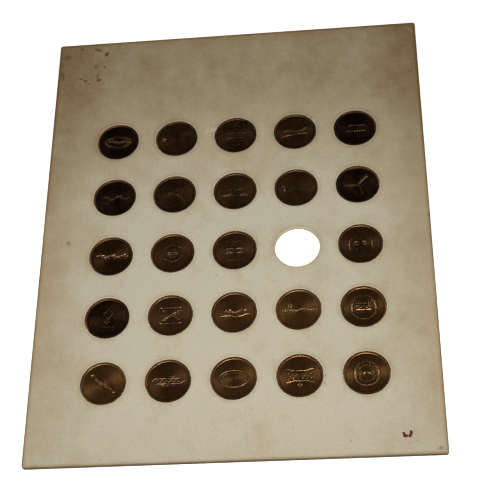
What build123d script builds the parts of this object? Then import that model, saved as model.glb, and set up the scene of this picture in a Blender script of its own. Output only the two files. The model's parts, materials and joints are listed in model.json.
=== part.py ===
# Collector's display card: a laminated board with a grid of die-cut holes,
# and a struck token pushed into every hole but one.
# The card lies on its back. Origin: centre of the back face. +X runs along the rows of holes,
# +Y towards the wide top margin, +Z out of the face. Sizes are in millimetres.
import os

from build123d import *

# Card
card_width = 229.0
card_height = 289.0
corner_radius = 1.6
back_liner_thickness = 0.3
core_board_thickness = 1.8
front_liner_thickness = 0.3

# Grid of holes; rows count from the top margin down, columns from the left
rows = 5
columns = 5
column_pitch = 36.5
row_pitch = 40.6
grid_centre_x = 0.6
grid_centre_y = -15.2
empty_hole = (3, 4)

# Struck token: a raised rim round a lower field, the same on both faces
token_diameter = 25.8
token_rim_thickness = 1.6
token_rim_width = 1.1
token_field_depth = 0.14
token_edge_round = 0.15

# Fit of a token in its hole, and how deep it is pushed: a share of the depth it leaves free
radial_clearance = 0.1
shallowest_share = 0.35
deepest_share = 0.85
seat_levels = 4

# Paper edge that the cutting die rolls down into each hole, at most this share of the paper
die_roll_radius = 0.2
die_roll_limit = 0.8

card_thickness = back_liner_thickness + core_board_thickness + front_liner_thickness
hole_radius = token_diameter / 2 + radial_clearance
field_radius = token_diameter / 2 - token_rim_width
free_depth = card_thickness - token_rim_thickness
die_roll = min(die_roll_radius, die_roll_limit * front_liner_thickness)


def hole_centre(row, column):
    """Centre of one hole, seen from the front."""
    x = grid_centre_x + (column - (columns + 1) / 2) * column_pitch
    y = grid_centre_y - (row - (rows + 1) / 2) * row_pitch
    return x, y


def seat_depth(row, column):
    """How far a token sits below the card's face.

    Tokens are pressed in by hand, so they stop at a few different levels. A level is a share
    of the depth that a token leaves free, so a token never stands out of either face.
    """
    level = (2 * row + 3 * column) % seat_levels
    share = shallowest_share + (deepest_share - shallowest_share) * level / (seat_levels - 1)
    return share * free_depth


# One die cuts the outline and the holes through all three plies
with BuildSketch() as ply_outline:
    RectangleRounded(card_width, card_height, corner_radius)
    with Locations((grid_centre_x, grid_centre_y)):
        with GridLocations(column_pitch, row_pitch, columns, rows):
            Circle(hole_radius, mode=Mode.SUBTRACT)

# Paper on the back
with BuildPart() as back_liner:
    with BuildSketch(Plane.XY):
        add(ply_outline.sketch)
    extrude(amount=back_liner_thickness)
back_liner.part.label = "back_liner"

# Board that carries the tokens
with BuildPart() as core_board:
    with BuildSketch(Plane.XY.offset(back_liner_thickness)):
        add(ply_outline.sketch)
    extrude(amount=core_board_thickness)
core_board.part.label = "core_board"

# Paper on the face, its cut edges rolled down at the holes
with BuildPart() as front_liner:
    with BuildSketch(Plane.XY.offset(card_thickness - front_liner_thickness)):
        add(ply_outline.sketch)
    extrude(amount=front_liner_thickness)
    face = front_liner.faces().sort_by(Axis.Z)[-1]
    hole_rims = face.edges().filter_by(GeomType.CIRCLE).filter_by(
        lambda edge: abs(edge.radius - hole_radius) < radial_clearance
    )
    fillet(hole_rims, radius=die_roll)
front_liner.part.label = "front_liner"

# Tokens, one in every hole but the empty one
tokens = []
for row in range(1, rows + 1):
    for column in range(1, columns + 1):
        if (row, column) == empty_hole:
            continue
        x, y = hole_centre(row, column)
        top = card_thickness - seat_depth(row, column)
        front = Plane(origin=(x, y, top))
        back = Plane(origin=(x, y, top - token_rim_thickness))
        with BuildPart() as token:
            with BuildSketch(back):
                Circle(token_diameter / 2)
            extrude(amount=token_rim_thickness)
            fillet(token.edges(), radius=token_edge_round)
            with BuildSketch(front):
                Circle(field_radius)
            extrude(amount=-token_field_depth, mode=Mode.SUBTRACT)
            with BuildSketch(back):
                Circle(field_radius)
            extrude(amount=token_field_depth, mode=Mode.SUBTRACT)
        token.part.label = f"token_row{row}_col{column}"
        tokens.append(token.part)

os.makedirs("parts", exist_ok=True)
for piece in [back_liner.part, core_board.part, front_liner.part, *tokens]:
    export_step(piece, f"parts/{piece.label}.step")
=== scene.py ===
# Collector's display card: a laminated board with struck bronze tokens pushed into its holes.
# Lengths are in millimetres unless a note says otherwise, and become metres when a mesh is made.
import json
import math

import bpy
import numpy as np
from mathutils import Matrix, Vector


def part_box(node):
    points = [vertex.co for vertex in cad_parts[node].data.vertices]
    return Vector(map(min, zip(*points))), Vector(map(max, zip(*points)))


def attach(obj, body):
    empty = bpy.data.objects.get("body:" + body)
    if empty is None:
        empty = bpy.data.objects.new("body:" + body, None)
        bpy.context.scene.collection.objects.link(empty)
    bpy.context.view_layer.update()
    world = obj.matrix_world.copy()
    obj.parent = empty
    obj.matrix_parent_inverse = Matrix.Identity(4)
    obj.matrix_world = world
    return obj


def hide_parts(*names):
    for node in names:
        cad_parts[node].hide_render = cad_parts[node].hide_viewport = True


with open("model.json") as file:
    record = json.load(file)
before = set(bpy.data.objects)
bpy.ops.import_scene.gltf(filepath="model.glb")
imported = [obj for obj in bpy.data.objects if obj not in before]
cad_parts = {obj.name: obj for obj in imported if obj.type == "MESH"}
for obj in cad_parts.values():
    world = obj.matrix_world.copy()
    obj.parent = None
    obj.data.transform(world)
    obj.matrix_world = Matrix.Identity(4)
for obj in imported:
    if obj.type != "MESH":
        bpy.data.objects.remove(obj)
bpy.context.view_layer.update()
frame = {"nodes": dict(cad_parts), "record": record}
mm = 0.001
tau = 2 * math.pi


def boxInMm(node):
    low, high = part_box(node)
    return np.array(low) / mm, np.array(high) / mm


# What the frame says: the three plies, the tokens and the holes
faceLow, faceHigh = boxInMm("front_liner")
coreLow, coreHigh = boxInMm("core_board")
backLow, backHigh = boxInMm("back_liner")
halfWidth, halfHeight = faceHigh[0], faceHigh[1]
tokenNames = sorted(name for name in frame["nodes"] if name.startswith("token_"))
tokenBoxes = {name: boxInMm(name) for name in tokenNames}
emptyHole = next(mount for mount in frame["record"]["mounts"] if mount["kind"] == "bore")
holeRadius = emptyHole["dims"]["r_mm"]
holes = np.array(
    [(low + high)[:2] / 2 for low, high in tokenBoxes.values()] + [np.array(emptyHole["pos_m"][:2]) / mm]
)
columnX = np.unique(holes[:, 0].round(2))
rowY = np.unique(holes[:, 1].round(2))[::-1]
columnPitch = columnX[1] - columnX[0]
rowPitch = rowY[0] - rowY[1]
print("frame loaded:", len(holes), "holes,", len(tokenNames), "tokens")


# sRGB hex to linear: each channel is divided by 12.92 when dark, and otherwise raised to 2.4
def linear(hexColour, alpha=1.0):
    channels = np.array([int(hexColour[i:i + 2], 16) for i in (1, 3, 5)]) / 255
    light = np.where(channels <= 0.04045, channels / 12.92, ((channels + 0.055) / 1.055) ** 2.4)
    return (*light.tolist(), alpha)


# One node, its kind without ShaderNode in front, with its settings and a ramp's evenly spaced shades. An
# input given a socket, or a node, is linked to it.
def addNode(tree, kind, inputs={}, shades=(), **settings):
    node = tree.nodes.new("ShaderNode" + kind)
    for name, value in settings.items():
        setattr(node, name, value)
    for key, value in inputs.items():
        if isinstance(value, bpy.types.Node):
            value = value.outputs[0]
        if isinstance(value, bpy.types.NodeSocket):
            tree.links.new(value, node.inputs[key])
        else:
            node.inputs[key].default_value = value
    while shades and len(node.color_ramp.elements) < len(shades):
        node.color_ramp.elements.new(0.5)
    for number, shade in enumerate(shades):
        node.color_ramp.elements[number].position = number / (len(shades) - 1)
        node.color_ramp.elements[number].color = linear(shade)
    return node


def newMaterial(name):
    material = bpy.data.materials.new(name)
    material.use_nodes = True
    material.node_tree.nodes.clear()
    return material, material.node_tree


# A piece from arrays: points in mm, quads and triangles of point numbers, and named values for each point
def makePiece(name, points, quads, triangles, values, material, body, node):
    mesh = bpy.data.meshes.new(name)
    corners = np.concatenate([quads.ravel(), triangles.ravel()]).astype(np.int32)
    starts = np.concatenate([np.arange(len(quads)) * 4, 4 * len(quads) + np.arange(len(triangles)) * 3])
    mesh.vertices.add(len(points))
    mesh.vertices.foreach_set("co", (points * mm).astype(np.float32).ravel())
    mesh.loops.add(len(corners))
    mesh.loops.foreach_set("vertex_index", corners)
    mesh.polygons.add(len(starts))
    mesh.polygons.foreach_set("loop_start", starts.astype(np.int32))
    mesh.update(calc_edges=True)
    mesh.validate()
    for key, value in values.items():
        kind, field = ("FLOAT_VECTOR", "vector") if value.ndim > 1 else ("FLOAT", "value")
        mesh.attributes.new(key, kind, "POINT").data.foreach_set(field, value.astype(np.float32).ravel())
    mesh.shade_smooth()
    mesh.materials.append(material)
    piece = bpy.data.objects.new(name, mesh)
    bpy.context.scene.collection.objects.link(piece)
    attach(piece, body)
    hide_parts(node)
    return piece


# Stage, light and camera: a pale floor, pale walls low round the horizon, a dim ceiling that the
# tokens mirror, and one big softbox whose grid keeps most of its light on the lower half of the card
stage = {
    "floorGap": 0.05,           # under the card
    "floorSize": 6.0,           # m
    "floorColour": "#f2f1ee",
    "floorRoughness": 0.9,
    "floorGlow": 0.80,          # keeps the floor pale where the light falls off
    "wallColour": "#f4f3f0",
    "wallHeights": (0.10, 0.45),   # sines of the heights where the walls start to darken and end
    "ceilingColour": "#26221f",
    "wallStrength": 0.42,
    "keyAim": (0, -60),         # mm, on the card
    "keyAzimuth": 11.0,         # degrees, from straight below the card towards its right
    "keyElevation": 62.0,
    "keyDistance": 0.9,         # m
    "keySize": 0.5,             # m
    "keySpread": 50.0,          # degrees
    "keyPower": 0.87,           # W
    "keyColour": "#fffefb",
}
cameraView = {
    "lookAt": (4.08, -15.59),   # on the card's face
    "distance": 739.3,
    "azimuth": 11.28,           # degrees, from straight below the card towards its right
    "elevation": 59.56,
    "roll": -12.71,
    "lens": 91.66,
    "sensor": 36.0,             # along the picture's long side
    "clip": (0.05, 20),         # m
}


def towards(azimuth, elevation):
    a, e = math.radians(azimuth), math.radians(elevation)
    return Vector((math.sin(a) * math.cos(e), -math.cos(a) * math.cos(e), math.sin(e)))


def makeStage():
    half, low = stage["floorSize"] / 2, -stage["floorGap"] * mm
    mesh = bpy.data.meshes.new("floor")
    corners = [(x, y, low) for x, y in ((-half, -half), (half, -half), (half, half), (-half, half))]
    mesh.from_pydata(corners, [], [(0, 1, 2, 3)])
    material, tree = newMaterial("matte_white_floor")
    colour = linear(stage["floorColour"])
    surface = addNode(tree, "BsdfPrincipled", {
        "Base Color": colour, "Roughness": stage["floorRoughness"],
        "Emission Color": colour, "Emission Strength": stage["floorGlow"]})
    # From below the floor is clear, so that the card's back can be looked at too
    below = addNode(tree, "NewGeometry").outputs["Backfacing"]
    surface = addNode(tree, "MixShader", {0: below, 1: surface, 2: addNode(tree, "BsdfTransparent")})
    addNode(tree, "OutputMaterial", {0: surface})
    mesh.materials.append(material)
    floor = bpy.data.objects.new("floor", mesh)
    bpy.context.scene.collection.objects.link(floor)

    world = bpy.data.worlds.new("studio")
    world.use_nodes = True
    bpy.context.scene.world = world
    tree = world.node_tree
    tree.nodes.clear()
    direction = addNode(tree, "TexCoord").outputs["Generated"]
    height = addNode(tree, "SeparateXYZ", {0: direction}).outputs[2]
    low, high = stage["wallHeights"]
    height = addNode(tree, "MapRange", {0: height, 1: low, 2: high})
    shade = addNode(tree, "ValToRGB", {0: height}, (stage["wallColour"], stage["ceilingColour"]))
    background = addNode(tree, "Background", {0: shade, 1: stage["wallStrength"]})
    addNode(tree, "OutputWorld", {0: background})

    lamp = bpy.data.lights.new("key_softbox", "AREA")
    lamp.shape = "DISK"
    lamp.size = stage["keySize"]
    lamp.energy = stage["keyPower"]
    lamp.spread = math.radians(stage["keySpread"])
    lamp.color = linear(stage["keyColour"])[:3]
    key = bpy.data.objects.new("key_softbox", lamp)
    way = towards(stage["keyAzimuth"], stage["keyElevation"])
    key.location = Vector((*stage["keyAim"], faceHigh[2])) * mm + way * stage["keyDistance"]
    key.rotation_euler = way.to_track_quat("Z", "Y").to_euler()
    bpy.context.scene.collection.objects.link(key)


def makeCamera():
    back = towards(cameraView["azimuth"], cameraView["elevation"])
    azimuth = math.radians(cameraView["azimuth"])
    level = Vector((math.cos(azimuth), math.sin(azimuth), 0))
    upright = back.cross(level)
    roll = math.radians(cameraView["roll"])
    right = level * math.cos(roll) + upright * math.sin(roll)
    up = upright * math.cos(roll) - level * math.sin(roll)
    lens = bpy.data.cameras.new("camera")
    lens.lens = cameraView["lens"]
    lens.sensor_width = cameraView["sensor"]
    lens.clip_start, lens.clip_end = cameraView["clip"]
    camera = bpy.data.objects.new("camera", lens)
    target = Vector((*cameraView["lookAt"], faceHigh[2])) * mm
    turn = Matrix((right, up, back)).transposed().to_4x4()
    camera.matrix_world = Matrix.Translation(target + back * cameraView["distance"] * mm) @ turn
    bpy.context.scene.collection.objects.link(camera)
    bpy.context.scene.camera = camera


bpy.context.scene.view_settings.view_transform = "Standard"
makeStage()
makeCamera()
print("stage, light and camera made")


card = {
    "cellDivisions": 20,   # along each side of the square cell round a hole
    "cellRings": (0, 0.008, 0.016, 0.028, 0.045, 0.08, 0.13, 0.2, 0.3, 0.45, 0.7, 1),  # shares of the way out
    "edgeLines": (0, 0.12, 0.3, 0.6, 1.0, 1.6, 2.6, 4.2),   # distances in from the card's edge
    "marginStep": 3.0,
    "cornerRadius": 1.6,
    "rollRadius": 0.2,     # paper edge that the die rolled down into a hole
    "swell": 0.13,         # how far the board stands up round a hole, where a token was forced in
    "swellReach": 3.0,
    "edgeWear": 0.09,
    "edgeWearReach": 0.45,
    "wallRows": 5,
    "ripple": 0.012,       # of the whole face, as the paper dried
    "rippleSizes": (17, 23),
    "sharpAngle": 50,      # degrees; an edge turning by more than this stays sharp
}
rng = np.random.default_rng(7)


# Lines across the card: close together at its edges, even over the margins, and then the cells' own
def gridLines(half, centres, pitch):
    first, last = centres.min() - pitch / 2, centres.max() + pitch / 2
    edge = np.array(card["edgeLines"])

    def margin(width):
        inside = np.linspace(edge[-1], width, max(2, round((width - edge[-1]) / card["marginStep"]) + 1))
        return np.concatenate([edge[:-1], inside])

    block = np.linspace(first, last, card["cellDivisions"] * len(centres) + 1)
    return np.concatenate([margin(first + half) - half, block[1:-1], (half - margin(half - last))[::-1]])


# The card's plan: a grid of lines outside the cells, and in each cell rings that change from the
# hole's circle to the cell's square. Equal points are merged.
def cardPlan(rings):
    x, y = gridLines(halfWidth, columnX, columnPitch), gridLines(halfHeight, rowY, rowPitch)
    gridX, gridY = np.meshgrid(x, y)
    index = np.arange(gridX.size).reshape(gridX.shape)
    quads = np.stack([index[:-1, :-1], index[:-1, 1:], index[1:, 1:], index[1:, :-1]], -1).reshape(-1, 4)
    middle = np.stack(np.meshgrid((x[:-1] + x[1:]) / 2, (y[:-1] + y[1:]) / 2), -1).reshape(-1, 2)
    block = (np.abs(middle[:, 0] - columnX.mean()) < columnPitch * len(columnX) / 2) & (
        np.abs(middle[:, 1] - rowY.mean()) < rowPitch * len(rowY) / 2)
    quads = quads[~block]
    points = np.stack([gridX.ravel(), gridY.ravel()], -1)

    corner = np.array([(1, -1), (1, 1), (-1, 1), (-1, -1)]) * (columnPitch / 2, rowPitch / 2)
    share = np.arange(card["cellDivisions"]) / card["cellDivisions"]
    square = np.concatenate([a + (b - a) * share[:, None] for a, b in zip(corner, np.roll(corner, -1, 0))])
    angles = np.unwrap(np.arctan2(corner[:, 1], corner[:, 0]))
    turn = np.append(angles, angles[0] + tau)
    around = np.concatenate([a + (b - a) * share for a, b in zip(turn[:-1], turn[1:])])
    circle = holeRadius * np.stack([np.cos(around), np.sin(around)], -1)
    ringPoints = np.concatenate([circle + (square - circle) * s for s in rings])
    count = len(square)
    ringIndex = np.arange(len(ringPoints)).reshape(len(rings), count)
    inner, outer = ringIndex[:-1], ringIndex[1:]
    ringQuads = np.stack([inner, outer, np.roll(outer, -1, 1), np.roll(inner, -1, 1)], -1).reshape(-1, 4)
    cellPoints = (holes[:, None, :] + ringPoints[None]).reshape(-1, 2)
    offsets = len(points) + len(ringPoints) * np.arange(len(holes))
    cellQuads = (ringQuads[None] + offsets[:, None, None]).reshape(-1, 4)
    holeLoops = ringIndex[0][None] + offsets[:, None]

    allPoints = np.concatenate([points, cellPoints])
    merged, first, where = np.unique(allPoints.round(4), axis=0, return_index=True, return_inverse=True)
    where = where.ravel()
    allQuads = where[np.concatenate([quads, cellQuads])]
    used = np.zeros(len(merged), bool)
    used[allQuads.ravel()] = True
    renumber = np.cumsum(used) - 1
    plan = allPoints[first][used]
    rim = (np.abs(np.abs(plan[:, 0]) - halfWidth) < 1e-3) | (np.abs(np.abs(plan[:, 1]) - halfHeight) < 1e-3)
    outline = np.flatnonzero(rim)
    outline = outline[np.argsort(np.arctan2(plan[outline, 1] / halfHeight, plan[outline, 0] / halfWidth))]

    # Corners: inside each corner square the square's rings become arcs of the corner radius
    centre = np.array([halfWidth, halfHeight]) - card["cornerRadius"]
    past = np.maximum(np.abs(plan) - centre, 0)
    far = np.hypot(past[:, 0], past[:, 1])
    rounded = (centre + past * (past.max(1) / np.maximum(far, 1e-9))[:, None]) * np.sign(plan)
    plan = np.where((past.min(1) > 0)[:, None], rounded, plan)
    return plan, renumber[allQuads], outline, renumber[where[holeLoops]]


# Distance out from the nearest hole's edge, and in from the card's edge
def distances(plan):
    out = np.min([np.hypot(*(plan - hole).T) for hole in holes], 0) - holeRadius
    inwards = np.minimum(halfWidth - np.abs(plan[:, 0]), halfHeight - np.abs(plan[:, 1]))
    return np.maximum(out, 0), np.maximum(inwards, 0)


# Height of the face: flat, swollen by a bell curve round each hole, rolled down by a quarter circle
# at the hole's edge, and pressed down at the card's edge by an exponential
def faceHeight(plan, top, side):
    out, inwards = distances(plan)
    level = -card["swell"] * (1 - np.exp(-(out / card["swellReach"]) ** 2))
    radius = card["rollRadius"]
    roll = radius - np.sqrt(np.maximum(radius ** 2 - np.maximum(radius - out, 0) ** 2, 0))
    wear = card["edgeWear"] * np.exp(-inwards / card["edgeWearReach"])
    x, y = (plan / card["rippleSizes"]).T
    ripple = card["ripple"] * (np.sin(x + 1) * np.sin(y) - 1)
    return top + side * (level - roll - wear + ripple)


# A ply: the plan at its upper and lower heights, with walls whose rows step down between them and are
# roughened by a smoothed random push across the wall
def makePly(name, node, upper, lower, rings, rows, roughness, material):
    plan, quads, outline, holeLoops = cardPlan(rings)
    topPoints = np.column_stack([plan, upper(plan)])
    bottomPoints = np.column_stack([plan, lower(plan)])
    count = len(plan)
    points, faces = [topPoints, bottomPoints], [quads, quads[:, ::-1] + count]
    cut = [np.zeros(count), np.zeros(count)]
    total = 2 * count
    for loop, sense in [(outline, 1)] + [(loop, -1) for loop in holeLoops]:
        ring = plan[loop]
        along = np.roll(ring, -1, 0) - np.roll(ring, 1, 0)
        normal = np.stack([along[:, 1], -along[:, 0]], -1) / np.hypot(*along.T)[:, None] * sense
        share = np.arange(1, rows) / rows
        push = rng.normal(0, roughness, (rows - 1, len(loop)))
        push = -np.abs(push + 0.5 * (np.roll(push, 1, 1) + np.roll(push, -1, 1)))
        heights = topPoints[loop, 2] + (bottomPoints[loop, 2] - topPoints[loop, 2]) * share[:, None]
        flat = ring[None] + normal[None] * push[..., None]
        points.append(np.concatenate([flat, heights[..., None]], -1).reshape(-1, 3))
        cut.append(np.ones((rows - 1) * len(loop)))
        middle = total + np.arange((rows - 1) * len(loop)).reshape(rows - 1, len(loop))
        total += middle.size
        stack = np.concatenate([loop[None], middle, loop[None] + count])
        upperRow, lowerRow = stack[:-1], stack[1:]
        wall = np.stack([upperRow, lowerRow, np.roll(lowerRow, -1, 1), np.roll(upperRow, -1, 1)], -1)
        wall = wall.reshape(-1, 4)
        faces.append(wall if sense > 0 else wall[:, ::-1])
    points, cut = np.concatenate(points), np.concatenate(cut)
    out, inwards = distances(points[:, :2])
    nearest = np.argmin([np.hypot(*(points[:, :2] - hole).T) for hole in holes], 0)
    values = {"cut": cut, "holeGap": out, "edgeGap": inwards, "stain": holeStain[nearest]}
    noTriangles = np.zeros((0, 3), int)
    piece = makePiece(name, points, np.concatenate(faces), noTriangles, values, material, "card", node)
    piece.data.set_sharp_from_angle(angle=math.radians(card["sharpAngle"]))
    print(name, "made:", 2 * len(piece.data.polygons), "triangles")
    return piece


def flatAt(height):
    return lambda plan: np.full(len(plan), height)


# Aged liner paper, calendered and then glued to the board: a matt cream that has browned from the
# top, the sides and the cut edges inwards, with cloudy toning, foxing, stains and rubs. Its darkening
# towards the top is partly browning and partly painted shade, where the light falls off.
facePaper = {
    "shades": ("#cbc2ac", "#bcae90", "#ab9c7e", "#957c55", "#80653c"),   # from clean to brown
    # Darkening by height: partly browning, partly painted shade where the light falls off towards the top
    "topBrowningAndShade": (12, 105, 0.50),       # from and to these heights on the card, and how much
    "sideBrowning": (62, 114, 0.26),      # the same, from the middle towards the sides
    "sideFading": (20, -110, 0.45),       # it weakens to this share between these heights
    "edgeBrowning": (2.6, 0.42),          # width of the strip along the edges, and how much
    "cloudSizes": (34.0, 9.0, 2.4),       # of the toning
    "cloudShares": (0.25, 0.16, 0.10),
    "fibreSize": 0.7,                     # real fibres are a tenth of this, and would not show
    "fibreShade": 0.12,
    "grainSize": (1.1, 16.0),             # across and along the machine direction, which runs up the card
    "grainShare": 0.05,
    "holeToning": (3.6, 0.20),            # brown that has spread from the metal, and how far
    "lip": (0.5, "#d8cfb8"),              # painted highlight: the rolled lip of each hole drawn lighter, as where it catches the light
    "cutColour": "#8d7a58",
    "handledColour": "#4a3a23",           # the card's outer edge, rubbed and grimy
    "grimyLine": (0.9, 0.65),             # how far that grime reaches onto the face, and how much
    "stainColour": "#66401f",
    "roughness": 0.78,
    "roughnessChange": (-0.08, 0.10),     # between fibres and on them
    "fibreBump": (0.5, 0.03),             # strength, and height
    "broadBump": (0.6, 0.25, 11.0),       # of the face's slow waves: strength, height and size
    "lipShare": 0.55,
    "raggedSize": 1.25,                   # marks have ragged edges, pushed about by a noise of this size
    "raggedPush": 2.0,
    "crispness": {"stains": 0.0, "foxing": 0.4, "specks": 0.7, "rust": 0.9, "rubs": 0.5},
    # Each mark: its place, its half length and half width, its turn in degrees, and its strength
    "foxing": ("#70480a", [
        (-83.5, 135.6, 2.3, 1.4, 70, 1.0), (-109.4, 134.5, 3.0, 2.4, 20, 0.55),
        (-89.4, 139.4, 3.4, 1.1, -28, 0.8), (-90.2, 125.8, 1.7, 1.9, 0, 0.6),
        (-88.4, 118.0, 4.2, 0.8, 82, 0.55), (-87.5, 114.9, 1.8, 1.1, 15, 1.0),
        (-84.2, 125.1, 0.9, 0.8, 0, 0.8), (-96.3, 114.9, 1.3, 1.0, -30, 1.0),
        (-99.3, 116.7, 1.5, 0.8, -35, 0.8), (-93.8, 112.3, 0.9, 0.8, 0, 0.7),
        (-100.3, 141.1, 1.1, 1.0, 0, 0.8), (-75.2, 142.2, 1.0, 0.8, 0, 0.7),
        (-98.7, -4.7, 1.3, 1.0, 60, 0.6), (110.2, -141.2, 1.5, 0.9, 10, 0.6),
        (-111.5, 120.0, 1.5, 4.5, 0, 0.5),
    ]),
    "stains": ("#a07a38", [
        (-104, 95, 15, 9, 20, 0.12), (64, 134, 7, 5, 0, 0.25), (75, 135, 6, 5, 0, 0.2),
        (90, 118, 8, 7, 0, 0.2), (-98, -6, 9, 7, 30, 0.18), (110, -21, 7, 12, 0, 0.2),
        (95, -64, 8, 6, 0, 0.22), (29, -121, 5, 4, 0, 0.15), (-30, 128, 26, 9, 0, 0.12),
        (0, 157, 150, 20, 0, 0.8), (-112, 30, 7, 40, 0, 0.3), (-118, -50, 26, 140, 0, 0.34),
        (118, -50, 24, 140, 0, 0.30), (0, -152, 140, 34, 0, 0.12),
    ]),
    "specks": ("#54432c", [
        (27.8, 109.6, 0.5, 0.4, 0, 0.45), (38.4, 139.1, 0.5, 0.4, 0, 0.4),
        (106.2, 126.8, 0.7, 0.4, 0, 0.5), (109.9, 126.1, 0.5, 0.5, 0, 0.45),
        (104.6, 100.2, 0.5, 0.4, 0, 0.35), (-9.5, -31.4, 0.4, 0.6, 0, 0.5),
        (31.4, 5.1, 0.4, 0.4, 0, 0.35), (26.3, -33.4, 0.4, 0.4, 0, 0.35),
        (-50.4, -109.1, 0.4, 0.4, 0, 0.3), (-20.9, -136.3, 0.5, 0.4, 0, 0.45),
        (-71.7, -125.2, 0.4, 0.4, 0, 0.3), (-71.3, -141.2, 0.6, 0.4, 0, 0.45),
        (10.8, -114.6, 0.5, 0.5, 0, 0.4), (32.9, -126.4, 0.4, 0.4, 0, 0.3),
        (63.5, -135.6, 0.5, 0.4, 0, 0.4), (93.8, -138.2, 0.6, 0.4, 0, 0.4),
        (98.6, -136.4, 0.9, 0.3, 45, 0.45), (51.3, -96.9, 0.4, 0.8, 10, 0.5),
        (50.7, -101.6, 0.8, 0.4, 20, 0.45), (114.0, 1.9, 0.8, 1.4, 0, 0.7),
    ]),
    "rust": ("#551f00", [
        (91.5, -132.3, 0.7, 0.7, 60, 1.0), (92.3, -133.7, 1.2, 0.9, -10, 1.0),
        (95.5, -131.9, 0.7, 1.0, 15, 1.0), (94.9, -133.4, 1.1, 0.8, 25, 1.0),
    ]),
    "rubs": ("#dcd5c2", [
        (-13.4, 70.8, 2.2, 1.5, 50, 0.5), (-17.0, 70.2, 1.4, 1.8, 0, 0.3),
        (48.4, 72.7, 1.3, 1.9, 20, 0.5), (-88.9, -23.5, 5.4, 0.3, 12, 0.35),
        (-16.8, -13.4, 5.0, 0.25, 0, 0.3), (54.8, -15.6, 5.0, 0.25, 0, 0.3),
        (111.4, 138.6, 4.4, 0.3, -52, 0.4),
    ]),
}
# How brown the hole's wall has gone over each token, by row and column
holeBrowning = {
    (1, 1): 1.0, (2, 1): 0.9, (3, 1): 0.8, (4, 1): 0.8, (5, 2): 0.9, (1, 5): 0.7, (2, 5): 0.8,
}
holeStain = np.array([holeBrowning.get((int(name[9]), int(name[-1])), 0.5) for name in tokenNames] + [0.0])


# A blemish mask: each ellipse's own radius, which is 1 at its outline, turned into a soft edge from the
# crispness out to 1.3, and the strongest mark wins
def blemishMask(tree, place, marks, crispness):
    total = 0.0
    for x, y, length, width, turn, strength in marks:
        ellipse = addNode(tree, "Mapping", {
            "Vector": place, "Location": (x, y, 0), "Rotation": (0, 0, math.radians(turn)),
            "Scale": (length, width, 1e3)}, vector_type="TEXTURE")
        away = addNode(tree, "VectorMath", {0: ellipse}, operation="LENGTH").outputs["Value"]
        mask = addNode(tree, "MapRange", {0: away, 1: 1.3, 2: crispness, 4: strength},
                       interpolation_type="SMOOTHSTEP")
        total = addNode(tree, "Math", {0: total, 1: mask}, operation="MAXIMUM")
    return total


# Toning of a liner, from 0 for clean to 1 for brown: darkening by height, partly browning and partly
# painted shade where the light falls off towards the top, browning towards the sides, along the edges and
# round the holes, with clouds and grain added
def paperToning(tree, look, place, edgeGap, holeGap):
    axes = addNode(tree, "SeparateXYZ", {0: place}).outputs
    sideways = addNode(tree, "Math", {0: axes[0]}, operation="ABSOLUTE")
    # By height: partly browning, partly painted shade where the light falls off towards the top
    low, high, much = look["topBrowningAndShade"]
    total = addNode(tree, "MapRange", {0: axes[1], 1: low, 2: high, 4: much})
    low, high, much = look["sideBrowning"]
    top, bottom, share = look["sideFading"]
    much = addNode(tree, "MapRange", {0: axes[1], 1: bottom, 2: top, 3: share * much, 4: much})
    parts = []
    edgeReach, edgeMuch = look["edgeBrowning"]
    holeReach, holeMuch = look["holeToning"]
    for gap, first, last, most in (
            (sideways, low, high, much), (edgeGap, edgeReach, 0.0, edgeMuch),
            (holeGap, holeReach, 0.0, holeMuch)):
        parts.append(addNode(tree, "MapRange", {0: gap, 1: first, 2: last, 4: most},
                             interpolation_type="SMOOTHSTEP"))
    across, along = look["grainSize"]
    stretch = addNode(tree, "VectorMath", {0: place, 1: (1 / across, 1 / along, 1)}, operation="MULTIPLY")
    noises = [(place, 1 / size, share) for size, share in zip(look["cloudSizes"], look["cloudShares"])]
    for vector, scale, share in noises + [(stretch, 1.0, look["grainShare"])]:
        cloud = addNode(tree, "TexNoise", {"Vector": vector, "Scale": scale, "Detail": 3.0})
        parts.append(addNode(tree, "Math", {0: cloud, 1: 2 * share, 2: -share}, operation="MULTIPLY_ADD"))
    for part in parts:
        total = addNode(tree, "Math", {0: total, 1: part}, operation="ADD")
    return total


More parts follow.
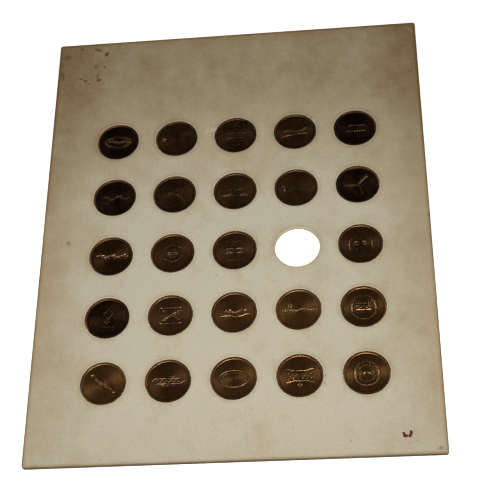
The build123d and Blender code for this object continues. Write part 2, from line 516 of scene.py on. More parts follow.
def linerPaper(name, look):
    material, tree = newMaterial(name)
    cut, stain, edgeGap, holeGap = (addNode(tree, "Attribute", attribute_name=key).outputs["Fac"]
                                    for key in ("cut", "stain", "edgeGap", "holeGap"))
    place = addNode(tree, "TexCoord").outputs["Object"]
    place = addNode(tree, "VectorMath", {0: place, 3: 1 / mm}, operation="SCALE")
    toning = paperToning(tree, look, place, edgeGap, holeGap)
    colour = addNode(tree, "ValToRGB", {0: toning}, look["shades"])
    push = addNode(tree, "TexNoise", {"Vector": place, "Scale": 1 / look["raggedSize"], "Detail": 3.0})
    push = addNode(tree, "VectorMath", {0: push.outputs["Color"], 1: (0.5, 0.5, 0.5)}, operation="SUBTRACT")
    reach = (look["raggedPush"], look["raggedPush"], 0)
    ragged = addNode(tree, "VectorMath", {0: push, 1: reach, 2: place}, operation="MULTIPLY_ADD")
    # Over the toning lie the marks, then a grimy line along the outer edge, then the lip of each hole,
    # which on the face paper is a painted highlight
    layers = []
    for kind, crispness in look["crispness"].items():
        shade, marks = look[kind]
        layers.append((blemishMask(tree, place if kind == "stains" else ragged, marks, crispness), shade))
    reach, much = look["grimyLine"]
    grime = addNode(tree, "MapRange", {0: edgeGap, 1: reach, 2: reach / 4, 4: much})
    # The lip: on the face paper a painted highlight along each hole's rolled edge
    reach, shade = look["lip"]
    lip = addNode(tree, "MapRange", {0: holeGap, 1: reach, 2: reach / 3, 4: look["lipShare"]})
    for mask, shade in layers + [(grime, look["handledColour"]), (lip, shade)]:
        mixed = addNode(tree, "Mix", {"Factor": mask, 6: colour, 7: linear(shade)}, data_type="RGBA")
        colour = mixed.outputs[2]
    # Fibres lighten and darken it a little
    fibres = addNode(tree, "TexNoise", {
        "Vector": place, "Scale": 1 / look["fibreSize"], "Detail": 4.0, "Roughness": 0.65, "Distortion": 1.2})
    dark = addNode(tree, "MapRange", {
        0: fibres, 1: 0.3, 2: 0.7, 3: 1 - look["fibreShade"], 4: 1 + look["fibreShade"]})
    dark = addNode(tree, "CombineXYZ", {0: dark, 1: dark, 2: dark})
    colour = addNode(tree, "Mix", {"Factor": 1.0, 6: colour, 7: dark}, data_type="RGBA",
                     blend_type="MULTIPLY").outputs[2]
    # Cut edges are browner, brownest where a token's metal has stained them or hands have rubbed them
    outside = addNode(tree, "MapRange", {0: edgeGap, 1: 1.0, 2: 0.2})
    wall = linear(look["cutColour"])
    for factor, shade in ((stain, look["stainColour"]), (outside, look["handledColour"])):
        mixed = addNode(tree, "Mix", {"Factor": factor, 6: wall, 7: linear(shade)}, data_type="RGBA")
        wall = mixed.outputs[2]
    colour = addNode(tree, "Mix", {"Factor": cut, 6: colour, 7: wall}, data_type="RGBA").outputs[2]
    low, high = look["roughnessChange"]
    rough = addNode(tree, "MapRange", {0: fibres, 3: look["roughness"] + low, 4: look["roughness"] + high})
    strength, height = look["fibreBump"]
    bump = addNode(tree, "Bump", {"Strength": strength, "Distance": height * mm, "Height": fibres})
    strength, height, size = look["broadBump"]
    broad = addNode(tree, "TexNoise", {"Vector": place, "Scale": 1 / size, "Detail": 2.0})
    bump = addNode(tree, "Bump", {
        "Strength": strength, "Distance": height * mm, "Height": broad, "Normal": bump})
    surface = addNode(tree, "BsdfPrincipled", {
        "Base Color": colour, "Roughness": rough, "Normal": bump, "Specular IOR Level": 0.35})
    addNode(tree, "OutputMaterial", {0: surface})
    return material


# Die-cut greyboard, pressed from waste paper: grey-brown, dull, in thin layers with stray fibres, clean
# where the holes were cut and dark with handling round the outside
greyBoard = {
    "clean": "#a3947a",
    "handled": "#43361f",
    "fibreColour": "#c2b59a",
    "gapColour": "#3f3322",   # between layers
    "layer": 0.28,          # thickness of a pressed layer
    "fibreLength": 1.6,
    "bump": (0.8, 0.08),    # strength, and height
    "roughness": 0.92,
}


def boardMaterial(name, look):
    material, tree = newMaterial(name)
    stain, edgeGap = (addNode(tree, "Attribute", attribute_name=key).outputs["Fac"]
                      for key in ("stain", "edgeGap"))
    place = addNode(tree, "TexCoord").outputs["Object"]
    place = addNode(tree, "VectorMath", {0: place, 3: 1 / mm}, operation="SCALE")
    outside = addNode(tree, "MapRange", {0: edgeGap, 1: 1.0, 2: 0.2})
    # Layers: a noise drawn out along the board and squeezed through its thickness
    stretch = (1 / look["fibreLength"], 1 / look["fibreLength"], 1 / look["layer"])
    stretch = addNode(tree, "VectorMath", {0: place, 1: stretch}, operation="MULTIPLY")
    layers = addNode(tree, "TexNoise", {"Vector": stretch, "Scale": 1.0, "Detail": 5.0, "Roughness": 0.7})
    fibre = addNode(tree, "MapRange", {0: layers, 1: 0.56, 2: 0.7, 4: 0.7})
    gap = addNode(tree, "MapRange", {0: layers, 1: 0.45, 2: 0.3, 4: 0.5})
    colour = linear(look["clean"])
    for factor, shade in ((stain, facePaper["stainColour"]), (outside, look["handled"]),
                          (fibre, look["fibreColour"]), (gap, look["gapColour"])):
        mixed = addNode(tree, "Mix", {"Factor": factor, 6: colour, 7: linear(shade)}, data_type="RGBA")
        colour = mixed.outputs[2]
    strength, height = look["bump"]
    bump = addNode(tree, "Bump", {"Strength": strength, "Distance": height * mm, "Height": layers})
    surface = addNode(tree, "BsdfPrincipled", {
        "Base Color": colour, "Roughness": look["roughness"], "Normal": bump, "Specular IOR Level": 0.2})
    addNode(tree, "OutputMaterial", {0: surface})
    return material


# The back's liner is the same paper, uncoated and dirtier, browned in rings round the holes
backPaper = dict(
    facePaper, shades=("#b9a988", "#ab9873", "#978159", "#7d6645", "#5f4c31"), topBrowningAndShade=(-150, 150, 0.12),
    sideBrowning=(85, 114, 0.2), edgeBrowning=(6.0, 0.45), cloudShares=(0.34, 0.2, 0.1),
    holeToning=(2.8, 0.5), lip=(0.4, "#a8946c"), fibreShade=0.16, roughness=0.88,
    foxing=("#6d451f", [(-40, 60, 3, 2, 30, 0.6), (72, -118, 2.4, 2, 0, 0.6), (-96, 128, 4, 3, 60, 0.5),
                        (15, 122, 1.6, 1.2, 0, 0.6), (88, 36, 1.8, 1.5, 0, 0.5)]),
    stains=("#7a5d33", [(60, 110, 26, 20, 20, 0.35), (-70, -110, 30, 18, -20, 0.3),
                        (-100, 20, 10, 26, 0, 0.3)]),
    specks=("#4a3a26", [(-20, -127, 0.9, 0.7, 0, 0.6), (34, 128, 0.8, 0.8, 0, 0.5),
                        (103, -84, 0.9, 0.6, 0, 0.6)]),
    rust=("#4f1a0a", [(-101, -131, 1.5, 1.0, 30, 0.8)]),
    rubs=("#cdc1a5", [(20, -132, 16, 2.2, 12, 0.4), (-92, 92, 12, 1.6, 48, 0.4),
                      (80, 130, 9, 1.4, -30, 0.4)]),
)

facePaperMaterial = linerPaper("aged_calendered_liner_paper", facePaper)
greyBoardMaterial = boardMaterial("die_cut_pressed_greyboard", greyBoard)
backPaperMaterial = linerPaper("aged_uncoated_back_paper", backPaper)
print("paper and board made")


fineRings, coarseRings = card["cellRings"], (0, 0.3, 1)
makePly("front_liner_paper", "front_liner", lambda plan: faceHeight(plan, faceHigh[2], 1),
        flatAt(faceLow[2]), fineRings, 2, 0.01, facePaperMaterial)
makePly("core_board_greyboard", "core_board", flatAt(coreHigh[2]), flatAt(coreLow[2]),
        coarseRings, card["wallRows"], 0.02, greyBoardMaterial)
makePly("back_liner_paper", "back_liner", flatAt(backHigh[2]),
        flatAt(backLow[2]), coarseRings, 2, 0.01, backPaperMaterial)


token = {
    "struckRadius": 9.4,    # the struck ornament lies within this
    "struckRings": 58,
    "plainRings": 6,
    "fieldDepth": 0.13,     # of the field below the rim
    "rimWidth": 0.95,
    "rimSlope": 0.28,
    "rimLine": 0.2,         # half width of the bright line that wear has left on the rim's inner edge
    "rimLineShine": 0.7,
    # The hollows beside the struck lines darken by oxide and by painted shade
    "cornerOxide": 0.3,     # how far the corner below the rim is darkened, and the hollows beside the lines
    "hollowOxideAndShade": 0.35,
    "edgeRound": 0.15,
    "dish": 0.05,           # the field is hollow by this much at its middle
    "relief": 0.15,         # height of the struck lines above the field
    "line": 0.55,           # their width
    "tilt": 0.35,           # degrees; each token sits a little out of level
    "backRings": 8,
    "rays": 24,             # on the back
}


# Struck paths, as points while t runs from 0 to 1 over a width w and a height h; n counts the turns.
# line: straight. oval: an ellipse. frame: an ellipse with its power lowered to 0.2, so it is a rounded
# rectangle. kite: an ellipse with its power raised to 2. rosette: a circle whose radius swells n times.
# wave: a sine. swash: a sine that swells to the right. spiral: a circle whose radius grows.
def power(value, exponent):
    return np.sign(value) * np.abs(value) ** exponent


pathShapes = {
    "line": lambda t, w, h, n: (w * (t - 0.5), h * (t - 0.5)),
    "oval": lambda t, w, h, n: (w / 2 * np.cos(tau * t), h / 2 * np.sin(tau * t)),
    "frame": lambda t, w, h, n: (w / 2 * power(np.cos(tau * t), 0.2), h / 2 * power(np.sin(tau * t), 0.2)),
    "kite": lambda t, w, h, n: (w / 2 * power(np.cos(tau * t), 2), h / 2 * power(np.sin(tau * t), 2)),
    "rosette": lambda t, w, h, n: (w / 2 * (0.7 + 0.3 * np.cos(tau * n * t)) * np.cos(tau * t),
                                   h / 2 * (0.7 + 0.3 * np.cos(tau * n * t)) * np.sin(tau * t)),
    "wave": lambda t, w, h, n: (w * (t - 0.5), h / 2 * np.sin(tau * n * t)),
    "swash": lambda t, w, h, n: (w * (t - 0.5), h / 2 * t * np.sin(tau * n * t)),
    "spiral": lambda t, w, h, n: (w / 2 * t * np.cos(tau * n * t), h / 2 * t * np.sin(tau * n * t)),
}


# One struck stroke: part is the stretch of t that is drawn. Beads draws it as that many dots, or as
# dashes of a length and a slant, on one side of the path or on both in turn.
def stroke(path, w, h=0.0, n=1, at=(0, 0), turn=0, line=1.0, rise=1.0, beads=0, dash=0.0, slant=90,
           sides=1, part=(0, 1)):
    return {"path": path, "w": w, "h": h, "n": n, "at": at, "turn": turn, "line": line, "rise": rise,
            "beads": beads, "dash": dash, "slant": slant, "sides": sides, "part": part}


# A leafy sprig: a waving stem with leaves to each side in turn
def sprig(w, h, n, leaves, leaf=1.5, at=(0, 0), turn=0, line=1.0, rise=1.0):
    return [stroke("wave", w, h, n, at, turn, line * 0.8, rise * 0.85),
            stroke("wave", w, h, n, at, turn, line, rise, beads=leaves, dash=leaf, slant=44, sides=2)]


# What is struck on each token, by row and column: plain ornament of ovals, rings, sprigs, bars and beads
emblems = {
    (1, 1): sprig(11.5, 1.4, 1.5, 15, 1.8, turn=-4, rise=1.2) + [
            stroke("oval", 17, 9.4, turn=-4, beads=58, dash=0.9, slant=60, rise=0.9),
            stroke("oval", 14.2, 6.8, turn=-4, rise=0.9)],
    (1, 2): [stroke("line", 14, at=(1, 0), beads=19, dash=1.0, slant=70, rise=0.7, line=0.9),
            stroke("rosette", 2.6, 2.6, 5, at=(-8, 0.2), rise=1.2)],
    (1, 3): [stroke("oval", 10, 14.6, part=(0.15, 0.35), line=2.6, rise=0.75),
            stroke("oval", 10, 14.6, part=(0.65, 0.85), line=2.6, rise=0.75),
            stroke("line", 11.4, at=(0, 2), rise=0.85), stroke("line", 11.4, at=(0, -1.8), rise=0.75),
            stroke("line", 11, at=(0, 2), beads=20, dash=0.7, slant=-90),
            stroke("line", 10.6, at=(0, -1.8), beads=14, dash=0.8)],
    (1, 4): sprig(14, 2.0, 1.2, 20, 1.7, at=(-0.4, 0.8), turn=7) +
            [stroke("wave", 16, 1.2, 0.5, at=(-0.6, -2.4), turn=9, line=1.1)],
    (1, 5): [stroke("line", 9, at=(1.2, 2), beads=7, line=2.2, rise=1.7),
            stroke("line", 10, at=(0.6, -2), beads=8, line=2.0, rise=1.7),
            stroke("line", 8, at=(0.5, 3), beads=15, rise=0.5, line=0.8)],
    (2, 1): sprig(15.5, 2.6, 2, 22, 1.5, rise=0.95),
    (2, 2): sprig(9.5, 1.4, 0.5, 12, 1.7, at=(-1.2, 1.6), turn=24, rise=0.9) +
            sprig(9, 1.4, 0.5, 11, 1.7, at=(1.2, -1.6), turn=-34, rise=0.9),
    (2, 3): sprig(9, 0.8, 1, 13, 1.4, at=(0.3, 1.6), turn=4, rise=0.9) +
            [stroke("line", 15, at=(0.2, -3), rise=0.95), stroke("line", 13.4, at=(0.4, -2), rise=0.75),
            stroke("line", 13, at=(0.2, -1.6), beads=22, dash=1.1, rise=0.8)],
    (2, 4): [stroke("line", 14, at=(1.6, -1.2), beads=24, dash=1.8, slant=76, rise=0.75),
            stroke("spiral", 3.8, 3.8, 1.8, at=(-7, 0)), stroke("line", 14, at=(1.6, -1.9), rise=0.6)],
    (2, 5): sprig(7.4, 0.6, 0.5, 11, 1.4, at=(2.6, 3), turn=48, rise=1.2) +
            sprig(7, 0.6, 0.5, 10, 1.4, at=(-3.8, 0), turn=180) +
            sprig(6.6, 0.6, 0.5, 9, 1.4, at=(1.4, -3.6), turn=-68) +
            [stroke("oval", 2.4, 2.4, beads=9, rise=0.9)],
    (3, 1): sprig(17, 1.6, 2.5, 27, 1.7, turn=-2, line=1.05, rise=1.35),
    (3, 2): [stroke("oval", 10.8, 10.8), stroke("oval", 8.8, 8.8, beads=26), stroke("rosette", 6, 6, 6),
            stroke("oval", 17, 9, part=(0.03, 0.19)), stroke("oval", 17, 9, part=(0.53, 0.69)),
            stroke("oval", 2, 2)],
    (3, 3): [stroke("frame", 10, 12.6, rise=0.9), stroke("oval", 7.6, 10.4, rise=0.8),
            stroke("line", 10.6, at=(0, 1.3)), stroke("line", 10.6, at=(0, -1.5)),
            stroke("line", 10, at=(0, -1.2), beads=14, dash=2.0, rise=1.1)],
    (3, 5): [stroke("oval", 14, 14, beads=44, dash=0.7), stroke("oval", 11, 11, rise=0.7),
            stroke("rosette", 7.6, 7.6, 5, turn=18), stroke("oval", 2.6, 2.6, beads=7)],
    (4, 1): [stroke("frame", 9.2, 15, turn=-4, rise=0.7), stroke("kite", 5.4, 6.4, at=(0.4, 3), line=1.3),
            stroke("rosette", 3, 3, 4, at=(-0.2, -2), line=1.2),
            stroke("line", 6.2, at=(0.8, -6.2), turn=-4, beads=9, dash=1.2)],
    (4, 2): sprig(11.6, 0.6, 0.5, 14, 1.3, turn=32, line=1.1, rise=1.15) +
            sprig(11.6, 0.6, 0.5, 14, 1.3, turn=-32, rise=0.8) +
            [stroke("line", 12, 0.2, at=(0, 5)), stroke("line", 12, at=(0, -4.8)),
            stroke("line", 8, at=(-6.4, 0), turn=90, beads=9, line=1.3),
            stroke("line", 8, at=(6.4, 0), turn=90, beads=9)],
    (4, 3): sprig(12, 1.8, 1.5, 18, 1.8, at=(0, 0.6), rise=1.15) +
            [stroke("swash", 17, 2.0, 1.4, at=(1, -2), line=1.2, rise=1.2)],
    (4, 4): sprig(18, 0.9, 2, 28, 1.3, at=(0, -0.2), turn=2, rise=1.1) +
            [stroke("rosette", 2.8, 2.8, 5, at=(-4.8, 2.8))],
    (4, 5): [stroke("oval", 15, 15, rise=0.9), stroke("oval", 12.6, 12.6, beads=44, dash=0.8, slant=-90),
            stroke("oval", 10.4, 10.4, rise=0.6),
            stroke("line", 7.4, at=(0, 2.2), beads=9, dash=1.1, line=1.3, rise=1.3),
            stroke("line", 8, at=(0, -1.6), line=1.3, rise=1.2),
            stroke("wave", 8, 1.4, 2.5, at=(0, 0.3), line=1.2),
            stroke("line", 6.4, at=(0, -3.4), beads=8, dash=0.9, line=1.2)],
    (5, 1): [stroke("oval", 17, 5.8, at=(-0.2, 0), turn=-36),
            stroke("oval", 15.2, 4, at=(-0.2, 0), turn=-36, rise=0.7),
            stroke("line", 11, at=(-0.6, -0.9), turn=-36, beads=15, dash=1.7, rise=0.9),
            stroke("oval", 5, 2.6, at=(-2.6, -4.4), turn=24, beads=12)],
    (5, 2): [stroke("line", 14, at=(0, 1.6)), stroke("line", 14, at=(0, -1.6)),
            stroke("line", 2.3, 1.6, at=(-8.1, 0.8)), stroke("line", 2.3, -1.6, at=(-8.1, -0.8)),
            stroke("line", 2.3, -1.6, at=(8.1, 0.8)), stroke("line", 2.3, 1.6, at=(8.1, -0.8)),
            stroke("wave", 12.6, 1.3, 5, line=1.1), stroke("line", 7, at=(0, 2.8), rise=0.7),
            stroke("line", 7, at=(0, -2.8), rise=0.9)],
    (5, 3): [stroke("oval", 16.6, 10, line=1.1),
            stroke("oval", 13.8, 7.4, part=(0.54, 0.96), beads=17, line=1.4),
            stroke("oval", 13.8, 7.4, part=(0.04, 0.46), rise=0.6),
            stroke("line", 9, at=(0, -0.6), beads=9, rise=0.6)],
    (5, 4): [stroke("kite", 2.2, 3.2, at=(x, 0), line=1.2, rise=1.2) for x in np.linspace(-6.25, 6.25, 6)] +
            [stroke("line", 5.6, -1.4, at=(-4.8, 3.6), line=1.1),
            stroke("line", 5.6, 1.4, at=(4.8, 3.6), line=1.1), stroke("line", 4.6, at=(0, 3.2), line=1.2),
            stroke("line", 5.6, 1.4, at=(-4.8, -3.2), line=1.1),
            stroke("line", 5.6, -1.4, at=(4.8, -3.2), line=1.1), stroke("line", 5, at=(0, -2.9), line=1.2),
            stroke("rosette", 2.8, 2.4, 4, at=(0, -5.2))],
    (5, 5): [stroke("oval", 14.4, 14.4, rise=0.9), stroke("oval", 12.2, 12.2, beads=40, dash=0.7, slant=-90),
            stroke("oval", 9.6, 9.6, rise=0.8), stroke("oval", 7.4, 7.4, beads=22, line=1.2),
            stroke("rosette", 4, 4, 6, rise=0.8)],
}
# Where each rim shows a painted reflection, in copper, of the lit hole wall beside it: the direction
# from the token's middle, and how much
ownRimReflection = {
    (1, 1): (135, 1.0), (1, 2): (150, 0.6), (1, 4): (110, 0.4), (1, 5): (60, 0.5), (2, 1): (130, 0.9),
    (2, 2): (120, 0.4), (2, 5): (60, 0.7), (3, 1): (150, 0.8), (3, 2): (140, 0.7), (4, 1): (140, 0.7),
    (4, 5): (15, 0.6), (5, 2): (130, 1.0),
}
# How far each token has gone from brown to golden as it toned, and how strong its lustre is. By row the
# tokens darken towards the top, partly toning and partly painted shade where the light falls off.
rowToneAndShade = {1: 0.21, 2: 0.26, 3: 0.30, 4: 0.44, 5: 0.57}
ownTone = {
    (1, 1): 0.0, (1, 5): 0.0, (2, 1): 0.05, (2, 2): 0.2, (2, 5): 0.04, (3, 1): 0.22, (4, 1): 0.08,
    (4, 2): 0.38, (4, 4): 0.60, (4, 5): 0.5, (5, 2): 0.36, (5, 3): 0.48, (5, 4): 0.52,
}
ownLustre = {
    (3, 5): 0.6, (4, 5): 1.0, (5, 5): 1.0, (5, 4): 0.7, (3, 1): 0.7, (4, 4): 0.5, (5, 1): 0.5,
    (5, 3): 0.4, (5, 2): 0.5,
}


# Points of a stroke's path, turned and moved to their place
def pathPoints(item, t):
    x, y = pathShapes[item["path"]](t, item["w"], item["h"], item["n"])
    turn = math.radians(item["turn"])
    return np.stack([item["at"][0] + x * math.cos(turn) - y * math.sin(turn),
                     item["at"][1] + x * math.sin(turn) + y * math.cos(turn)])


# Distance from each point to a stroke: the least distance to its straight pieces, which are the path's
# own, or one for each bead, leaning off the path by the slant and to each side in turn where it has two
def strokeDistance(x, y, item):
    start, end = item["part"]
    closed = item["beads"] and end - start == 1 and item["path"] in ("oval", "frame", "rosette")
    t = np.linspace(start, end, item["beads"] or 96, endpoint=not closed)
    place = pathPoints(item, t)
    if item["beads"]:
        ahead = pathPoints(item, t + 0.001) - pathPoints(item, t - 0.001)
        side = np.where(np.arange(len(t)) % item["sides"], -1, 1)
        way = np.arctan2(ahead[1], ahead[0]) + math.radians(item["slant"]) * side
        first, last = place, place + item["dash"] * np.stack([np.cos(way), np.sin(way)])
    else:
        first, last = place[:, :-1], place[:, 1:]
    dx, dy = last - first
    fromX, fromY = x[:, None] - first[0], y[:, None] - first[1]
    share = np.clip((fromX * dx + fromY * dy) / np.maximum(dx ** 2 + dy ** 2, 1e-9), 0, 1)
    return np.hypot(fromX - share * dx, fromY - share * dy).min(1)


# Height of the struck lines, from 0 to about 1: a raised cosine across each stroke, and the highest one
# wins. The hollow beside the strokes, where oxide gathers and shade is painted, falls off evenly out to
# twice their width.
def reliefHeight(x, y, strokes):
    height, hollow = np.zeros_like(x), np.zeros_like(x)
    for item in strokes:
        reach = item["line"] * token["line"] / 2
        farthest = 0.62 * np.hypot(item["w"], item["h"]) + reach + item["dash"] + 1
        near = np.hypot(x - item["at"][0], y - item["at"][1]) < farthest
        away = strokeDistance(x[near], y[near], item)
        ridge = item["rise"] * (0.5 + 0.5 * np.cos(math.pi * np.clip(away / reach, 0, 1)))
        height[near] = np.maximum(height[near], ridge)
        hollow[near] = np.maximum(hollow[near], item["rise"] * np.clip(2 - away / reach, 0, 1))
    return height, hollow * (1 - np.clip(height, 0, 1))


# Height of a face below its rim, by radius: a smooth step down from the rim to the field, a shallow
# bowl over the field, and a quarter circle at the outer edge
def faceProfile(r, radius):
    inner = radius - token["rimWidth"]
    step = np.clip((inner - r) / token["rimSlope"], 0, 1)
    step = step * step * (3 - 2 * step)
    bowl = token["dish"] * (1 - np.clip(r / inner, 0, 1) ** 2)
    edge = token["edgeRound"]
    past = np.clip(r - (radius - edge), 0, edge)
    return -step * (token["fieldDepth"] + bowl) - (edge - np.sqrt(edge ** 2 - past ** 2))


# Radii of the rings: close over the struck middle, wider to the rim, and close again over the rim's
# slope and its outer edge
def ringRadii(radius, struckRings, plainRings):
    inner = radius - token["rimWidth"]
    edge = token["edgeRound"]
    struck = np.linspace(0, token["struckRadius"], struckRings, endpoint=False)
    plain = np.linspace(token["struckRadius"], inner - token["rimSlope"], plainRings, endpoint=False)
    slope = np.linspace(inner - token["rimSlope"], inner, 5)
    top = np.linspace(inner, radius - edge, 4)[1:]
    outer = radius - edge + edge * np.sin(np.linspace(0, math.pi / 2, 4))[1:]
    return np.concatenate([struck, plain, slope, top, outer])


# A disc as a square grid bent round: ring k becomes a circle, and its 8k points lie evenly on it
def discGrid(radii):
    last = len(radii) - 1
    step = np.arange(-last, last + 1)
    u, v = np.meshgrid(step, step)
    sideways = np.abs(u) >= np.abs(v)
    lead, follow = np.where(sideways, u, v), np.where(sideways, v, u)
    angle = math.pi / 4 * follow / np.where(lead == 0, 1, lead)
    angle = np.where(sideways, angle, math.pi / 2 - angle)
    r = np.sign(lead) * radii[np.abs(lead)]
    x, y = (r * np.cos(angle)).ravel(), (r * np.sin(angle)).ravel()
    index = np.arange(u.size).reshape(u.shape)
    quads = np.stack([index[:-1, :-1], index[:-1, 1:], index[1:, 1:], index[1:, :-1]], -1).reshape(-1, 4)
    rim = np.flatnonzero(np.abs(lead.ravel()) == last)
    return x, y, quads, rim[np.argsort(np.arctan2(y[rim], x[rim]))]


# The back's relief: rays with a raised cosine across each, fading in and out along the radius, and two rings
def backRelief(r, angle, radius):
    rays = 0.5 + 0.5 * np.cos(token["rays"] * angle)
    window = np.clip(1 - np.abs(r - 0.5 * radius) / (0.24 * radius), 0, 1)
    rings = sum(np.exp(-((r - share * radius) / 0.25) ** 2) for share in (0.2, 0.78))
    return np.maximum(rays * np.sqrt(window), rings)


def makeToken(name, row, column, material):
    low, high = tokenBoxes[name]
    centre = (low + high) / 2
    radius = (high[0] - low[0]) / 2
    thick = high[2] - low[2]
    radii = ringRadii(radius, token["struckRings"], token["plainRings"])
    x, y, quads, rim = discGrid(radii)
    r = np.hypot(x, y)
    relief, hollow = reliefHeight(x, y, emblems[row, column])
    front = np.column_stack([x, y, faceProfile(r, radius) + token["relief"] * relief])
    points, values = [front], [relief]

    # Side and back: a profile of radius and height, carried round at the rim's own angles
    angle = np.arctan2(y[rim], x[rim])
    backRadii = ringRadii(radius, token["backRings"], 1)[::-1][:-1]
    sideHeights = np.linspace(-token["edgeRound"], token["edgeRound"] - thick, 4)[1:-1]
    profileR = np.concatenate([np.full(len(sideHeights), radius), backRadii])
    profileZ = np.concatenate([sideHeights, -thick - faceProfile(backRadii, radius)])
    gridR, gridAngle = np.meshgrid(profileR, angle, indexing="ij")
    raised = backRelief(gridR, gridAngle, radius)
    raised[:len(sideHeights)] = 0
    lathe = np.stack([gridR * np.cos(gridAngle), gridR * np.sin(gridAngle),
                      profileZ[:, None] - token["relief"] * raised], -1).reshape(-1, 3)
    points += [lathe, np.array([[0, 0, -thick - faceProfile(np.zeros(1), radius)[0]]])]
    values += [raised.ravel(), np.zeros(1)]
    ring = np.arange(len(lathe)).reshape(len(profileR), len(angle)) + len(front)
    stack = np.concatenate([rim[None], ring])
    outer, inner = stack[:-1], stack[1:]
    wall = np.stack([outer, inner, np.roll(inner, -1, 1), np.roll(outer, -1, 1)], -1).reshape(-1, 4)
    hub = np.full(len(angle), len(front) + len(lathe))
    fan = np.stack([stack[-1], hub, np.roll(stack[-1], -1)], -1)

    points, raised = np.concatenate(points), np.concatenate(values)
    hollow = np.concatenate([hollow, np.zeros(len(raised) - len(hollow))])
    seed = np.random.default_rng(10 * row + column)
    lean, way = math.radians(token["tilt"]) * seed.uniform(0.3, 1), seed.uniform(0, tau)
    points[:, 2] += math.tan(lean) * (points[:, 0] * math.cos(way) + points[:, 1] * math.sin(way))
    distance = np.hypot(points[:, 0], points[:, 1])
    # Toning: a bright line on the rim's inner edge, a dark one in the corner below it, and on one side a
    # painted reflection, in copper, of the lit hole wall
    shoulder = radius - token["rimWidth"]
    line = np.exp(-((distance - shoulder) / token["rimLine"]) ** 2)
    corner = np.exp(-((distance - shoulder + 2 * token["rimSlope"]) / token["rimSlope"]) ** 2)
    # Painted reflection of the lit hole wall on the rim, strongest where the rim faces that way
    reflectionWay, reflectionMuch = ownRimReflection.get((row, column), (115, 0.2))
    onRim = np.clip((distance - shoulder) / token["rimLine"], 0, 1)
    facing = np.cos(np.arctan2(points[:, 1], points[:, 0]) - math.radians(reflectionWay))
    # A row's tone darkens towards the top: partly toning, partly painted shade where the light falls off
    tone = ownTone.get((row, column), rowToneAndShade[row])
    # Darker in the corner below the rim by oxide, and beside the struck lines by oxide and painted shade
    tone = tone - token["cornerOxide"] * corner - token["hollowOxideAndShade"] * hollow
    around = np.column_stack([-points[:, 1], points[:, 0], 0 * distance])
    around /= np.maximum(distance, 1e-6)[:, None]
    attributes = {"relief": np.maximum(raised, token["rimLineShine"] * line), "tone": tone, "around": around,
                  "rimReflection": reflectionMuch * onRim * np.clip((facing - 0.1) / 0.5, 0, 1), "radius": distance,
                  "lustre": np.full(len(points), ownLustre.get((row, column), 0.15))}
    points += (*centre[:2], high[2])
    return makePiece(name.replace("token", "struck_token"), points, np.concatenate([quads, wall]), fan,
                     attributes, material, name, name)


# Struck bronze that has toned with age: dark brown oxide over the fields, olive to golden where it is
# thinner, bright metal on the struck lines, and lustre that runs out from the middle in radial flow
# lines, so a streak of light lies across each side of a token
bronze = {
    "tones": ("#2f1e18", "#63452c", "#7b5837", "#9b7342", "#c1975b"),   # from dark oxide to golden
    "hues": ("#fbeedf", "#eff1d9"),   # reddish and olive patches
    "hueSize": 9.0,
    "bare": "#cfa473",        # a struck line's crest
    "bareShare": 0.62,
    # painted reflection of the lit hole wall, coppery, on one side of a rim
    "rimReflection": "#c97a38",
    "patchSizes": (6.0, 1.8, 0.5),    # mottles of the toning
    "patchShares": (0.22, 0.17, 0.08),
    "flowSize": 0.5,          # across the radial flow lines, which are finer on the real thing
    "rollSize": (0.45, 25 / 3),   # across and along the marks left by the rolling mill
    "rollShare": 0.18,
    "rollBump": (0.5, 0.012),   # strength, and height
    "flowBump": (0.5, 0.03),
    "flowRoughness": 0.08,
    "metallic": 0.875,
    "roughness": (0.41, 0.30),     # on a dull token and on one with full lustre
    "crestRoughness": 0.30,
    "anisotropic": (0.40, 0.78),
}


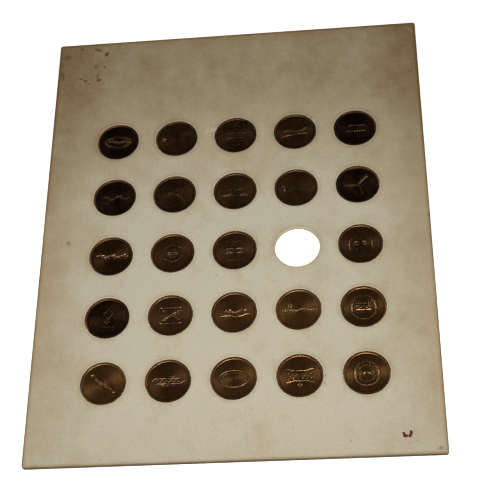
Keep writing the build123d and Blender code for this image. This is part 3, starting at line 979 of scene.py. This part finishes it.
def bronzeMaterial(name, look):
    material, tree = newMaterial(name)
    relief, rimReflection, total, lustre, radius = (
        addNode(tree, "Attribute", attribute_name=key).outputs["Fac"]
        for key in ("relief", "rimReflection", "tone", "lustre", "radius"))
    around = addNode(tree, "Attribute", attribute_name="around").outputs["Vector"]
    place = addNode(tree, "TexCoord").outputs["Object"]
    place = addNode(tree, "VectorMath", {0: place, 3: 1 / mm}, operation="SCALE")
    # Rolling marks: noise drawn out along the token's height
    across, along = look["rollSize"]
    rolled = addNode(tree, "VectorMath", {0: place, 1: (1 / across, 1 / along, 1)}, operation="MULTIPLY")
    rolled = addNode(tree, "TexNoise", {"Vector": rolled, "Scale": 1.0, "Detail": 3.0})
    noises = [(rolled, look["rollShare"])]
    for size, share in zip(look["patchSizes"], look["patchShares"]):
        noises.append((addNode(tree, "TexNoise", {
            "Vector": place, "Scale": 1 / size, "Detail": 4.0, "Distortion": 0.5}), share))
    for noise, share in noises:
        part = addNode(tree, "Math", {0: noise, 1: 2 * share, 2: -share}, operation="MULTIPLY_ADD")
        total = addNode(tree, "Math", {0: total, 1: part}, operation="ADD")
    colour = addNode(tree, "ValToRGB", {0: total}, look["tones"])
    hue = addNode(tree, "TexNoise", {"Vector": place, "Scale": 1 / look["hueSize"], "Detail": 2.0})
    hue = addNode(tree, "MapRange", {0: hue, 1: 0.4, 2: 0.6})
    hue = addNode(tree, "ValToRGB", {0: hue}, look["hues"])
    colour = addNode(tree, "Mix", {"Factor": 1.0, 6: colour, 7: hue}, data_type="RGBA",
                     blend_type="MULTIPLY").outputs[2]
    crest = addNode(tree, "MapRange", {0: relief, 1: 0.3, 2: 1.0, 4: look["bareShare"]},
                    interpolation_type="SMOOTHSTEP")
    # Bare metal on the struck lines, then the rim's painted reflection of the lit hole wall
    for factor, shade in ((crest, look["bare"]), (rimReflection, look["rimReflection"])):
        mixed = addNode(tree, "Mix", {"Factor": factor, 6: colour, 7: linear(shade)}, data_type="RGBA")
        colour = mixed.outputs[2]
    # Flow lines: noise over the direction from the middle, nearly the same all along a radius
    flow = addNode(tree, "VectorMath", {0: around, 3: 12 / look["flowSize"]}, operation="SCALE")
    out = addNode(tree, "CombineXYZ", {2: radius})
    flow = addNode(tree, "VectorMath", {0: flow, 1: out}, operation="ADD")
    flow = addNode(tree, "TexNoise", {"Vector": flow, "Scale": 0.55, "Detail": 3.0})
    dull, lustrous = look["anisotropic"]
    drawn = addNode(tree, "MapRange", {0: lustre, 3: dull, 4: lustrous})
    dull, lustrous = look["roughness"]
    rough = addNode(tree, "MapRange", {0: lustre, 3: dull, 4: lustrous})
    much = look["flowRoughness"]
    uneven = addNode(tree, "Math", {0: flow, 1: 2 * much, 2: -much}, operation="MULTIPLY_ADD")
    rough = addNode(tree, "Math", {0: rough, 1: uneven}, operation="ADD")
    rough = addNode(tree, "Mix", {"Factor": crest, 2: rough, 3: look["crestRoughness"]})
    strength, height = look["rollBump"]
    bump = addNode(tree, "Bump", {"Strength": strength, "Distance": height * mm, "Height": rolled})
    strength, height = look["flowBump"]
    bump = addNode(tree, "Bump", {
        "Strength": strength, "Distance": height * mm, "Height": flow, "Normal": bump})
    surface = addNode(tree, "BsdfPrincipled", {
        "Base Color": colour, "Metallic": look["metallic"], "Roughness": rough, "Normal": bump,
        "Anisotropic": drawn, "Tangent": around})
    addNode(tree, "OutputMaterial", {0: surface})
    return material


bronzeMade = bronzeMaterial("struck_toned_bronze", bronze)
for name in tokenNames:
    row, column = int(name[9]), int(name[-1])
    piece = makeToken(name, row, column, bronzeMade)
print("tokens made:", 24, "of", len(piece.data.vertices), "points each")
